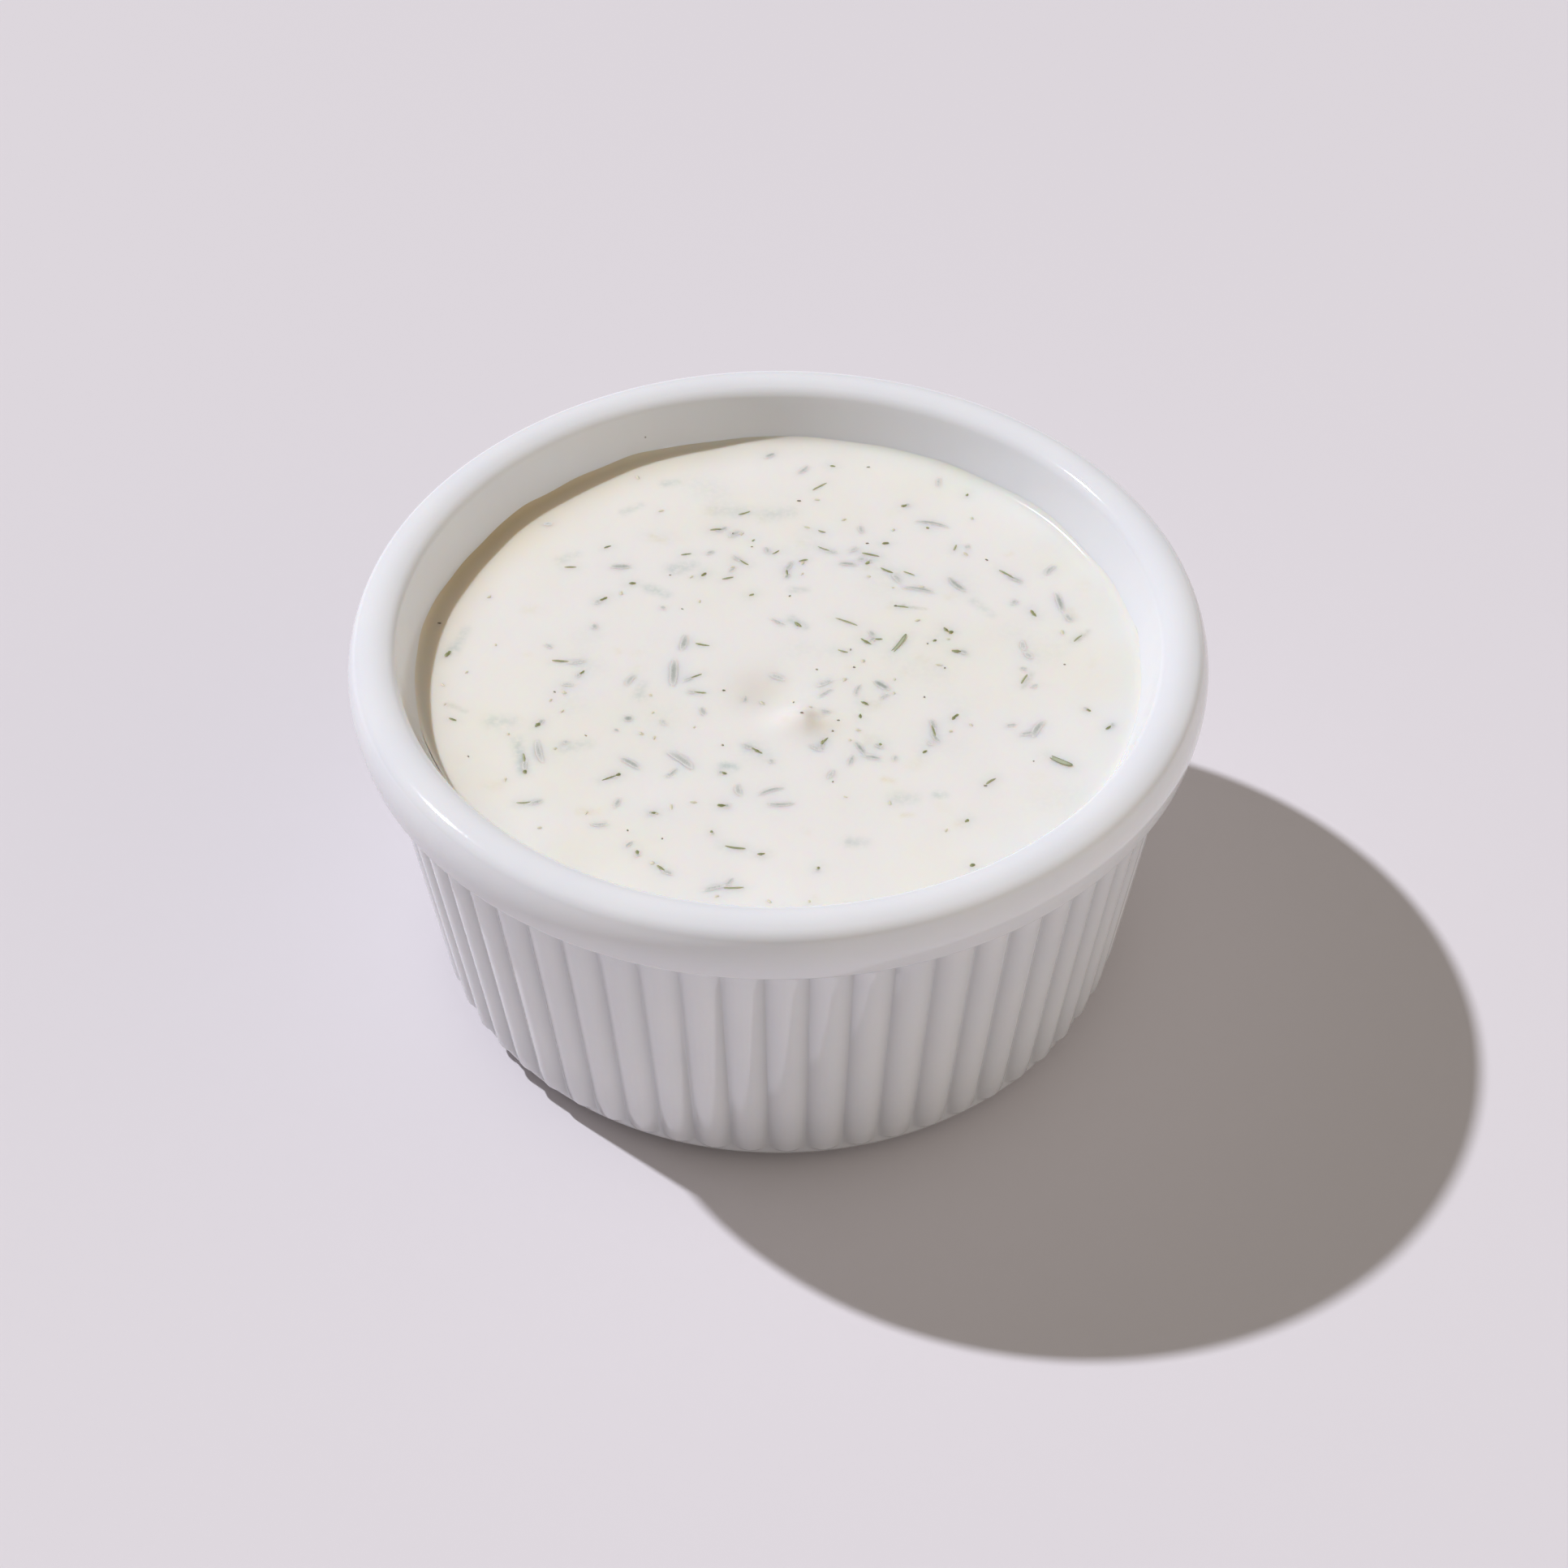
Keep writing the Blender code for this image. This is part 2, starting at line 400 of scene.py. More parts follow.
@dataclass
class Ramekin:
    """The glazed dish: a turned outline whose outside carries upright ribs."""

    rim_radius: float
    height: float
    rim_middle: float = 42.06 * MM
    rim_rounding: float = 3.34 * MM
    crown_gap: float = 0.347 * MM
    shoulder_drop: float = 0.6 * MM
    mouth_radius: float = 40.03 * MM
    mouth_rounding: float = 1.75 * MM
    brow_radius: float = 44.09 * MM
    brow_rounding: float = 1.75 * MM
    bulge_height: float = 40.9 * MM
    bulge_rounding: float = 6.0 * MM
    lip_radius: float = 37.63 * MM
    lip_height: float = 37.5 * MM
    floor_radius: float = 33.9 * MM
    floor_height: float = 4.8 * MM
    band_depth: float = 6.4 * MM
    band_taper: float = 0.4 * MM
    band_edge: float = 0.5 * MM
    neck_radius: float = 42.6 * MM
    base_radius: float = 37.21 * MM
    base_rounding: float = 3.3 * MM
    foot_radius: float = 33.8 * MM
    foot_height: float = 0.9 * MM
    foot_width: float = 3.6 * MM

    ribs: int = 60
    rib_phase: float = math.radians(268.1)
    rib_depth: float = 0.75 * MM
    rib_fullness: float = 1.0
    rib_top: float = 36.0 * MM
    rib_top_round: float = 0.8 * MM
    rib_end: float = 2.4 * MM
    rib_end_round: float = 2.0 * MM
    groove_round: float = 0.03
    # Painted shade: how dark the grooves and the foot are painted, and how high the darkening reaches.
    groove_shade: float = 0.65
    foot_shade: float = 0.6
    foot_shade_reach: float = 13 * MM
    seed: int = 11

    def wall_radius(self, height: Floats | float) -> Floats:
        """Radius of the inside wall at a height between the lip and the mouth."""
        heights = (self.lip_height, self.height - self.shoulder_drop)
        return np.interp(height, heights, (self.lip_radius, self.mouth_radius))

    def profile(self) -> Floats:
        """Rounded outline from the inside floor over the rim and down to the foot.

        Returns:
            One row of radius and height for each ring.
        """
        band_low = self.height - self.band_depth
        shoulder = self.height - self.shoulder_drop
        peak = self.height + self.crown_gap
        inner_foot = self.foot_radius - self.foot_width
        return outline([
            Turn(0.0, self.floor_height),
            Turn(self.floor_radius, self.floor_height, 6 * MM, 4, 14 * MM),
            Turn(self.lip_radius, self.lip_height, 4 * MM, 1, 1.2 * MM),
            Turn(self.mouth_radius, shoulder, self.mouth_rounding, 9),
            Turn(self.rim_middle, peak, self.rim_rounding, 10),
            Turn(self.brow_radius, shoulder, self.brow_rounding, 9, 0.5 * MM),
            Turn(self.rim_radius + 0.17 * MM, self.bulge_height, self.bulge_rounding, 7, 1.2 * MM),
            Turn(self.rim_radius - self.band_taper, band_low, self.band_edge, 8, 0.8 * MM),
            Turn(self.neck_radius, band_low + 0.2 * MM, 0.9 * MM, 5, 2.5 * MM),
            Turn(self.base_radius, self.foot_height, self.base_rounding, 20),
            Turn(self.foot_radius, self.foot_height, 0.25 * MM, 3),
            Turn(self.foot_radius, 0.0, 0.3 * MM, 4),
            Turn(inner_foot, 0.0, 0.3 * MM, 3),
            Turn(inner_foot - 0.3 * MM, self.foot_height, 0.25 * MM, 2),
            Turn(0.0, self.foot_height),
        ])

    def rib_columns(self) -> tuple[Floats, Floats, Ints]:
        """Columns round the dish, packed closer beside each groove.

        Returns:
            Each column's angle, its place across its rib from -1 to 1, and its rib's number.
        """
        half = np.array([0.0, 0.3, 0.55, 0.75, 0.88, 0.95, 0.985])
        across = np.concatenate([[-1.0], -half[:0:-1], half])
        rng = np.random.default_rng(self.seed)
        grooves = np.arange(self.ribs) + rng.uniform(-0.02, 0.02, self.ribs)
        widths = np.diff(np.append(grooves, grooves[0] + self.ribs))
        turns = grooves[:, None] + widths[:, None] * (across + 1) / 2
        angle = self.rib_phase + turns.ravel() * TAU / self.ribs
        number = np.repeat(np.arange(self.ribs), len(across))
        return angle, np.tile(across, self.ribs), number

    def rib_height(self, rings: Floats, across: Floats, number: Ints) -> Floats:
        """How far the surface stands out of the grooves, from 0 in a groove to 1 on a crest.

        Across a rib the height is 1 minus the square of the place across it, raised to its
        fullness. How far a ring is past the rib's full length, squared, is taken off before that,
        so that the ends are round like a finger's.

        Args:
            rings: radius and height of each ring, from under the band to the foot.
            across: each column's place across its rib.
            number: each column's rib.

        Returns:
            One row for each ring and one column for each column.
        """
        rng = np.random.default_rng(self.seed + 1)
        steps = np.linalg.norm(np.diff(rings, axis=0), axis=1)
        along = np.concatenate([[0.0], np.cumsum(steps)])
        top = float(np.interp(-self.rib_top, -rings[:, 1], along))
        end = float(np.interp(-self.rib_end, -rings[:, 1], along))
        shift = rng.uniform(-0.12, 0.12, self.ribs)[number] * MM
        upper = (top + self.rib_top_round - along)[:, None] / self.rib_top_round
        lower = (along[:, None] - end - shift + self.rib_end_round) / self.rib_end_round

        edge = 1 - np.abs(across)
        rounded = np.sqrt(edge ** 2 + self.groove_round ** 2) - self.groove_round
        bulge = 1 - (1 - rounded / rounded.max()) ** 2
        rib = bulge[None, :] - np.clip(upper, 0, 2) ** 2 - np.clip(lower, 0, 2) ** 2
        rib = np.maximum(rib, 0.0) ** self.rib_fullness
        neck = 1 - ease(along, 0.0, 0.9 * MM) * 0.8
        base = 0.5 * ease(along, end - self.rib_end_round, end)
        base += 0.5 * ease(along, end, along[-1] - 0.5 * MM)
        plain = np.where(along < (top + end) / 2, neck * (1 - ease(along, top, top + 2 * MM)), base)
        return soft_max(rib, np.broadcast_to(plain[:, None], rib.shape), 0.05)

    def build(self) -> bpy.types.Object:
        """Turn the outline round the axis, press the ribs into it, and add a hand-made waviness.

        Returns:
            The finished piece.
        """
        rings = self.profile()
        start, finish = rings[0], rings[-1]
        rings = rings[1:-1]
        angle, across, number = self.rib_columns()
        band_low = self.height - self.band_depth
        outside = np.arange(len(rings)) > int(np.argmax(rings[:, 1]))
        body = outside & (rings[:, 1] < band_low + 0.15 * MM) & (rings[:, 0] > self.foot_radius)
        body &= rings[:, 0] < self.neck_radius + 0.3 * MM

        shape = np.ones((len(rings), len(angle)))
        shape[body] = self.rib_height(rings[body], across, number)
        tangent = np.gradient(rings, axis=0)
        tangent /= np.linalg.norm(tangent, axis=1)[:, None]
        normal = np.stack([-tangent[:, 1], tangent[:, 0]], -1)
        inset = self.rib_depth * (1 - shape)
        radius = rings[:, :1] - inset * normal[:, :1]
        height = rings[:, 1:] - inset * normal[:, 1:]

        rng = np.random.default_rng(self.seed + 2)
        waves = np.arange(2, 8)
        phases = rng.uniform(0, TAU, (2, len(waves)))
        sizes = 0.05 * MM / waves
        wobble = (sizes * np.cos(angle[:, None] * waves + phases[0])).sum(1)
        sway = (sizes * np.cos(angle[:, None] * waves + phases[1])).sum(1)
        high = ease(rings[:, 1:], 0.2 * self.height, self.height)
        radius += wobble * high
        height += sway * high

        points = np.stack([radius * np.cos(angle), radius * np.sin(angle), height], -1).reshape(-1, 3)
        rows, columns = shape.shape
        poles = np.array([[0, 0, start[1]], [0, 0, finish[1]]])
        points = np.concatenate([points, poles])
        count = rows * columns
        faces = [tube_faces(rows, columns),
                 pole_faces(count, 0, columns, True),
                 pole_faces(count + 1, count - columns, columns, False)]
        # Painted shade: darker in the grooves, and darker towards the foot on the outside.
        painted_shade = self.groove_shade * np.clip(1 - shape, 0, 1) ** 1.5
        painted_shade += self.foot_shade * outside[:, None] * (1 - ease(height, 0.5 * MM, self.foot_shade_reach))
        painted_shade = np.concatenate([np.clip(painted_shade, 0, 1).ravel(), [0, 0]])
        piece = smooth_mesh("ramekin_glazed", points, faces, {"painted_shade": painted_shade}, GlazeFinish().make())
        seat(piece, "ramekin")
        return piece


# --- The dip -------------------------------------------------------------------------------------

class Depth(Enum):
    """How deep a bit lies under the cream: the name of the mark that it paints."""

    SKIN = "skinned"
    SUNK = "sunk"
    FAT = "fat"


@dataclass(frozen=True)
class Smudge:
    """A bit under the cream, seen through it as a soft mark that fades towards one end."""

    depth: Depth
    x: float
    y: float
    heading: float
    length: float
    width: float
    strength: float
    fade: float = 0.0


@dataclass
class Dip:
    """The dip's body: a level surface with a last drop's peak, a hollow and a meniscus."""

    level: float
    floor_height: float
    dish: Ramekin
    cells: int = 272
    open_radius: float = 36.2 * MM
    edge_rings: int = 13
    climb: float = 1.0 * MM
    climb_reach: float = 0.42 * MM
    into_wall: float = 0.06 * MM
    # Painted shade: a warm tan strip along the wall on the side where the rim's shadow falls, its width and its
    # side.
    tan_shade_width: float = 3.5 * MM
    tan_shade_side: float = math.radians(145)
    glow_reach: float = 3.0 * MM
    nub_dimming: float = 0.75
    nub_reach: float = 4.5 * MM
    seed: int = 23
    smudges: list[Smudge] = field(default_factory=list)

    peak: tuple[float, float] = (2.3 * MM, -8.5 * MM)
    peak_height: float = 1.05 * MM
    hollow: tuple[float, float] = (-1.2 * MM, -4.1 * MM)
    hollow_depth: float = 0.75 * MM
    hollow_spread: float = 2.5 * MM

    # Painted shade, a warm tan on the shaded slopes of the hollow and at the peak's foot: where, how far it
    # spreads, and how much.
    tan_shade_patches: tuple[tuple[tuple[float, float], float, float], ...] = (
        ((-1.6 * MM, -3.6 * MM), 2.2 * MM, 0.16), ((4.6 * MM, -9.0 * MM), 1.3 * MM, 0.30))

    # How the climb changes round the dish: each swell's middle and half width in degrees, and its share.
    swells: tuple[tuple[float, float, float], ...] = ((98, 30, 0.25), (145, 12, -0.6), (25, 9, -0.25),
                                                      (48, 7, 0.2), (230, 25, -0.2), (-20, 20, -0.1))

    def last_drop(self, x: Floats, y: Floats) -> Floats:
        """Height of the peak and the hollow that the last drop left.

        The peak is a bell that falls faster to its right than to its left, with a crease running
        out of it; the hollow beside it is a plain bell turned down.
        """
        across, along = x - self.peak[0], y - self.peak[1]
        spread = np.where(across > 0, 1.0 * MM, 2.0 * MM)
        bell = self.peak_height * np.exp(-across ** 2 / (2 * spread ** 2) - along ** 2 / (2 * (1.5 * MM) ** 2))
        side, out = along - 0.25 * across - 0.15 * MM, across - 2.1 * MM
        crease = 0.16 * MM * np.exp(-side ** 2 / (2 * (0.45 * MM) ** 2) - out ** 2 / (2 * (1.3 * MM) ** 2))
        dent = (x - self.hollow[0]) ** 2 + (y - self.hollow[1]) ** 2
        return bell - crease - self.hollow_depth * np.exp(-dent / (2 * self.hollow_spread ** 2))

    def ripples(self, x: Floats, y: Floats) -> Floats:
        """Faint unevenness: a sum of plane waves of 5 to 22 mm, stronger towards the wall."""
        rng = np.random.default_rng(self.seed)
        total = np.zeros_like(x)
        for wave in rng.uniform(5, 22, 16) * MM:
            turn, phase = rng.uniform(0, TAU, 2)
            total += 0.0012 * wave * np.cos(TAU / wave * (x * np.cos(turn) + y * np.sin(turn)) + phase)
        share = np.hypot(x, y) / self.open_radius
        return total * (0.35 + 0.9 * share ** 3)

    def climb_at(self, angle: Floats) -> Floats:
        """How far the cream climbs the wall at each angle: bells of the angle, and a little unevenness."""
        rng = np.random.default_rng(self.seed + 1)
        share = np.ones_like(angle)
        for middle, width, size in self.swells:
            off = (np.degrees(angle) - middle + 180) % 360 - 180
            share += size * np.exp(-off ** 2 / (2 * width ** 2))
        for order in (9, 14, 23, 41):
            share += 0.14 / math.sqrt(order) * np.cos(order * angle + rng.uniform(0, TAU))
        return self.climb * np.clip(share, 0.2, 1.5)

    def edge_at(self, angle: Floats) -> Floats:
        """Radius at which the cream meets the wall at each angle, a hair inside the glaze."""
        height = self.level + self.climb_at(angle)
        return self.dish.wall_radius(height) + self.into_wall

    def surface(self, x: Floats, y: Floats) -> Floats:
        """Height of the dip's surface over the table at each place.

        The meniscus dies away from the wall as an exponential over climb_reach.
        """
        angle = np.arctan2(y, x)
        inward = np.maximum(self.edge_at(angle) - np.hypot(x, y), 0)
        meniscus = self.climb_at(angle) * np.exp(-inward / self.climb_reach)
        return self.level + self.last_drop(x, y) + self.ripples(x, y) + meniscus

    def disc(self) -> tuple[Floats, Floats]:
        """Square grid squeezed into a disc: each of its square rings becomes a circle.

        Returns:
            x and y of the grid's points.
        """
        side = np.linspace(-1, 1, self.cells + 1)
        a, b = np.meshgrid(side, side, indexing="ij")
        wide = np.abs(a) > np.abs(b)
        ring = np.where(wide, a, b)
        safe = np.where(ring == 0, 1.0, ring)
        turn = np.where(wide, math.pi / 4 * b / safe, math.pi / 2 - math.pi / 4 * a / safe)
        return self.open_radius * ring * np.cos(turn), self.open_radius * ring * np.sin(turn)

    def shade(self, x: Floats, y: Floats, depth: Depth) -> Floats:
        """Darkness of the soft marks of one depth at each place.

        Each mark is a bell of the distance to a short line of its length, narrower and fainter
        towards its far end, and the marks add up as layers do: one minus the product of what
        each lets through.
        """
        clear = np.ones_like(x)
        for mark in (one for one in self.smudges if one.depth is depth):
            dx, dy = math.cos(mark.heading), math.sin(mark.heading)
            along = (x - mark.x) * dx + (y - mark.y) * dy
            side = (y - mark.y) * dx - (x - mark.x) * dy
            over = np.maximum(np.abs(along) - mark.length / 2, 0)
            left = 1 - mark.fade * np.clip(along / mark.length + 0.5, 0, 1)
            half = mark.width / 2 * np.sqrt(left)
            clear *= 1 - mark.strength * left * np.exp(-(over ** 2 + side ** 2) / (2 * half ** 2))
        return 1 - clear

    def build(self) -> bpy.types.Object:
        """Lay the surface out to the wall, then close it down the wall and across the floor.

        Returns:
            The finished piece.
        """
        x, y = self.disc()
        size = self.cells + 1
        index = np.arange(size * size).reshape(size, size)
        top = np.stack([index[:-1, :-1], index[1:, :-1], index[1:, 1:], index[:-1, 1:]], -1).reshape(-1, 4)
        loop = np.concatenate([index[:-1, 0], index[-1, :-1], index[:0:-1, -1], index[0, :0:-1]])
        x, y = x.ravel(), y.ravel()

        angle = np.arctan2(y[loop], x[loop])
        share = 1 - (1 - np.linspace(0, 1, self.edge_rings + 1)[1:, None]) ** 1.7
        radius = self.open_radius + (self.edge_at(angle) - self.open_radius) * share
        x = np.concatenate([x, (radius * np.cos(angle)).ravel()])
        y = np.concatenate([y, (radius * np.sin(angle)).ravel()])
        shown = np.column_stack([x, y, self.surface(x, y)])

        low, wall = self.floor_height, self.level - 0.3 * MM
        sides = [(float(self.dish.wall_radius(wall)) + self.into_wall, wall),
                 (self.dish.floor_radius + 0.5 * MM, low + 8 * MM),
                 (self.dish.floor_radius - 1.5 * MM, low + 2 * MM),
                 (self.dish.floor_radius - 5.5 * MM, low)]
        rings = [np.column_stack([radius * np.cos(angle), radius * np.sin(angle), np.full(len(loop), height)])
                 for radius, height in sides]
        points = np.concatenate([shown, *rings, [[0, 0, low]]])

        first, count = size * size, len(loop)
        after = np.roll(np.arange(count), -1)
        hem = np.stack([loop, first + np.arange(count), first + after, loop[after]], -1)
        skirt = tube_faces(self.edge_rings + len(sides), count) + first
        floor = pole_faces(len(points) - 1, len(points) - 1 - count, count, False)

        hidden = np.zeros(len(points) - len(x))
        marks = {depth.value: np.concatenate([self.shade(x, y, depth), hidden]) for depth in Depth}
        turned = np.arctan2(y, x)
        inward = self.edge_at(turned) - np.hypot(x, y)
        # Painted shade: a warm tan strip along the wall on the side of the rim's shadow, and tan patches on the
        # shaded slopes of the hollow and the peak.
        painted_tan_shade = np.exp(-(inward / self.tan_shade_width) ** 2) * (0.5 + 0.5 * np.cos(turned - self.tan_shade_side)) ** 5
        for place, spread, share in self.tan_shade_patches:
            off = np.hypot(x - place[0], y - place[1])
            painted_tan_shade += share * np.exp(-off ** 2 / (2 * spread ** 2))
        marks["painted_tan_shade"] = np.concatenate([painted_tan_shade, hidden])
        nub = np.hypot(x - self.peak[0], y - self.peak[1])
        depth = ease(inward, 0.0, self.glow_reach) * (1 - self.nub_dimming * np.exp(-(nub / self.nub_reach) ** 2))
        marks["depth"] = np.concatenate([depth, hidden])
        piece = smooth_mesh("dip_surface", points, [top, hem, skirt, floor], marks, CreamFinish().make())
        seat(piece, "dip")
        return piece


# --- Bits in the dip -----------------------------------------------------------------------------

class Form(Enum):
    """Kinds of bit, each one piece of the model."""

    NEEDLE = "dill_needles"
    BLADE = "dill_blades"
    CHUNK = "dill_chunks"
    DOT = "dark_specks"
    PALE = "pale_specks"
    SUNK = "sunk_dill"


@dataclass(frozen=True)
class Cut:
    """How one kind of bit is cut: its shape, its finish, and how it lies in the cream."""

    finish: BitFinish
    length: tuple[float, float]
    width: tuple[float, float]
    thickness: float
    fold: float
    taper: float
    bend: float
    lift: float
    ragged: float
    stations: int
    corners: int
    sharp: float
    sink: float = 0.0


CUTS: dict[Form, Cut] = {
    Form.NEEDLE: Cut(
        BitFinish("dill_needle", (0.42, 0.44, 0.26), (0.165, 0.185, 0.055), (0.45, 0.46, 0.29)),
        (0.6 * MM, 2.4 * MM), (0.20 * MM, 0.28 * MM), 0.4, 0.0, 3.0, 0.07, 0.0 * MM, 0.14, 10, 8, 3.0),
    Form.BLADE: Cut(
        BitFinish("dill_blade", (0.52, 0.55, 0.41), (0.33, 0.36, 0.21), (0.18, 0.20, 0.09)),
        (2.0 * MM, 3.4 * MM), (0.40 * MM, 0.54 * MM), 0.25, 0.35, 4.0, 0.06, 0.0 * MM, 0.08, 10, 10, 4.0),
    Form.CHUNK: Cut(
        BitFinish("dill_chunk", (0.36, 0.38, 0.18), (0.125, 0.14, 0.035), (0.38, 0.39, 0.21)),
        (0.5 * MM, 1.2 * MM), (0.28 * MM, 0.42 * MM), 0.4, 0.0, 2.2, 0.08, 0.0 * MM, 0.30, 7, 8, 3.0),
    Form.DOT: Cut(
        BitFinish("dark_speck", (0.34, 0.31, 0.24), (0.10, 0.085, 0.05), (0.36, 0.33, 0.25)),
        (0.18 * MM, 0.34 * MM), (0.18 * MM, 0.28 * MM), 0.5, 0.0, 2.0, 0.0, 0.01 * MM, 0.18, 5, 8, 3.0),
    Form.PALE: Cut(
        BitFinish("pale_speck", (0.70, 0.66, 0.48), (0.58, 0.53, 0.33), (0.74, 0.71, 0.60), 0.35),
        (0.30 * MM, 0.90 * MM), (0.26 * MM, 0.42 * MM), 0.3, 0.0, 2.0, 0.0, 0.0 * MM, 0.2, 5, 8, 2.0),
    Form.SUNK: Cut(
        BitFinish("sunk_dill", (0.80, 0.78, 0.75), (0.19, 0.235, 0.19), (0.815, 0.79, 0.76), 0.26),
        (0.6 * MM, 2.2 * MM), (0.35 * MM, 0.70 * MM), 0.06, 0.0, 2.4, 0.10, 0.0 * MM, 0.05, 13, 16, 1.2, 0.4),
}


@dataclass(frozen=True)
class Bit:
    """One bit on the surface: where it lies, which way it points, and its size."""

    form: Form
    x: float
    y: float
    heading: float
    length: float
    width: float
    tone: float


@dataclass
class Sprinkle:
    """Strews the bits over the dip: the large ones from a given list, and the rest by chance in drifts."""

    dip: Dip
    seed: int = 5
    reach: float = 35.5 * MM
    bits: list[Bit] = field(default_factory=list)

    # The bits that catch the eye: form, x and y in mm, heading in degrees, length in mm, and tone
    # from 0, pale, to 1, dark.
    laid_by_hand: tuple[tuple[Form, float, float, float, float, float], ...] = (
        (Form.NEEDLE, 10, 18, -18, 2.3, 0.7), (Form.NEEDLE, 12, 15.2, -28, 2.0, 0.8),
        (Form.NEEDLE, 7.3, 7, -28, 2.7, 0.35), (Form.CHUNK, 9.3, 3.8, -42, 1.5, 0.8),
        (Form.BLADE, 12.7, 3.2, 58, 3.8, 0.4), (Form.NEEDLE, 16, -10, -80, 1.8, 0.65),
        (Form.CHUNK, 18.3, -8, 50, 1.1, 0.8), (Form.CHUNK, 9, -5.8, -35, 1.0, 0.7),
        (Form.CHUNK, 8.5, -7.8, -85, 0.7, 0.8), (Form.BLADE, 28.8, -14.7, -35, 2.9, 0.3),
        (Form.NEEDLE, 24.6, 14.7, -40, 2.3, 0.6), (Form.DOT, 22.7, 16.9, -40, 0.45, 1.0),
        (Form.CHUNK, 17.9, 5.6, -55, 0.9, 0.9), (Form.CHUNK, 18.4, 5.2, 40, 0.6, 0.8),
        (Form.CHUNK, 18.8, 2.2, -10, 1.1, 0.4), (Form.CHUNK, 27.3, 8.2, -65, 1.2, 0.55),
        (Form.NEEDLE, 25.7, -2.4, 65, 2.0, 0.05), (Form.CHUNK, -2.2, -12.9, -38, 1.5, 0.75),
        (Form.NEEDLE, -4.6, -26.8, -14, 2.6, 0.75), (Form.CHUNK, -1.8, -27.8, 5, 0.8, 0.5),
        (Form.CHUNK, -5.8, -20.9, -5, 0.9, 1.0), (Form.NEEDLE, -8.2, -4, -8, 1.4, 0.4),
        (Form.NEEDLE, -8, 3.4, -14, 1.6, 0.5), (Form.NEEDLE, -17.4, -16.8, 26, 1.7, 0.9),
        (Form.CHUNK, -16.4, -16.3, 24, 0.6, 1.0), (Form.CHUNK, -24.9, -8.8, 55, 0.9, 0.7),
        (Form.CHUNK, -33.8, -7.9, -25, 0.9, 0.7), (Form.CHUNK, -34.9, 2.2, 62, 1.1, 0.7),
        (Form.NEEDLE, -22.8, 1, -4, 2.2, 0.3), (Form.CHUNK, -20.6, -0.8, 50, 0.8, 0.5),
        (Form.CHUNK, -18.7, 10.9, 35, 1.0, 0.7), (Form.NEEDLE, -22.4, 16.1, 0, 1.5, 0.6),
        (Form.CHUNK, -15.7, 13.4, 0, 0.8, 0.6), (Form.NEEDLE, -9.9, 18.2, 12, 1.3, 0.6),
        (Form.CHUNK, -8, 14.8, 45, 0.8, 0.7), (Form.NEEDLE, -3.6, 25.1, 25, 1.6, 0.4),
        (Form.DOT, 2.4, 27.2, 0, 0.5, 0.8), (Form.NEEDLE, 4.8, 29.7, 38, 2.3, 0.15),
        (Form.DOT, 10.2, 33, 0, 0.45, 0.6), (Form.CHUNK, 14, 26.2, 20, 0.7, 0.4),
        (Form.NEEDLE, 1, 15.1, -85, 1.0, 0.7), (Form.NEEDLE, 2.7, 17, 15, 1.2, 0.55),
        (Form.NEEDLE, 5, 19, -30, 1.5, 0.45), (Form.CHUNK, 2.1, 6.6, -48, 1.2, 0.3),
        (Form.NEEDLE, -6.9, 22.3, 8, 1.5, 0.4), (Form.NEEDLE, -5.4, 14.2, 16, 1.3, 0.35),
        (Form.CHUNK, 11.8, 19.9, 5, 0.8, 0.7), (Form.DOT, 9.8, 19.9, 0, 0.4, 0.9),
        (Form.NEEDLE, 13.2, 9.4, -10, 1.6, 0.2), (Form.DOT, 12.6, 9.5, 0, 0.35, 1.0),
        (Form.NEEDLE, 31.8, 4.1, 48, 1.4, 0.3), (Form.NEEDLE, -11.7, -29.8, -42, 1.3, 0.6),
        (Form.NEEDLE, -4.8, -32.4, 0, 2.6, 0.3), (Form.NEEDLE, 34.1, -9.7, 45, 0.9, 1.0),
        (Form.CHUNK, 19.2, -29.6, 20, 0.6, 0.8), (Form.NEEDLE, 21.6, -17.5, 40, 1.5, 0.35),
        (Form.DOT, 21, -18.2, 0, 0.4, 0.7), (Form.CHUNK, -12.6, -21.9, 0, 0.6, 0.7),
        (Form.NEEDLE, -26.1, -13.9, -82, 1.6, 0.3), (Form.CHUNK, -25.9, -15.8, -80, 0.6, 0.8),
        (Form.DOT, -36.1, 7, 0, 0.45, 1.0), (Form.CHUNK, 15, -13.2, 40, 0.6, 0.8),
        (Form.DOT, 6.2, -8.4, 0, 0.35, 0.9), (Form.DOT, 2.4, -8.2, 0, 0.4, 0.7),
        (Form.NEEDLE, -25.8, -20.3, 5, 1.6, 0.3), (Form.DOT, -5.7, -3.6, 0, 0.35, 0.9),
    )

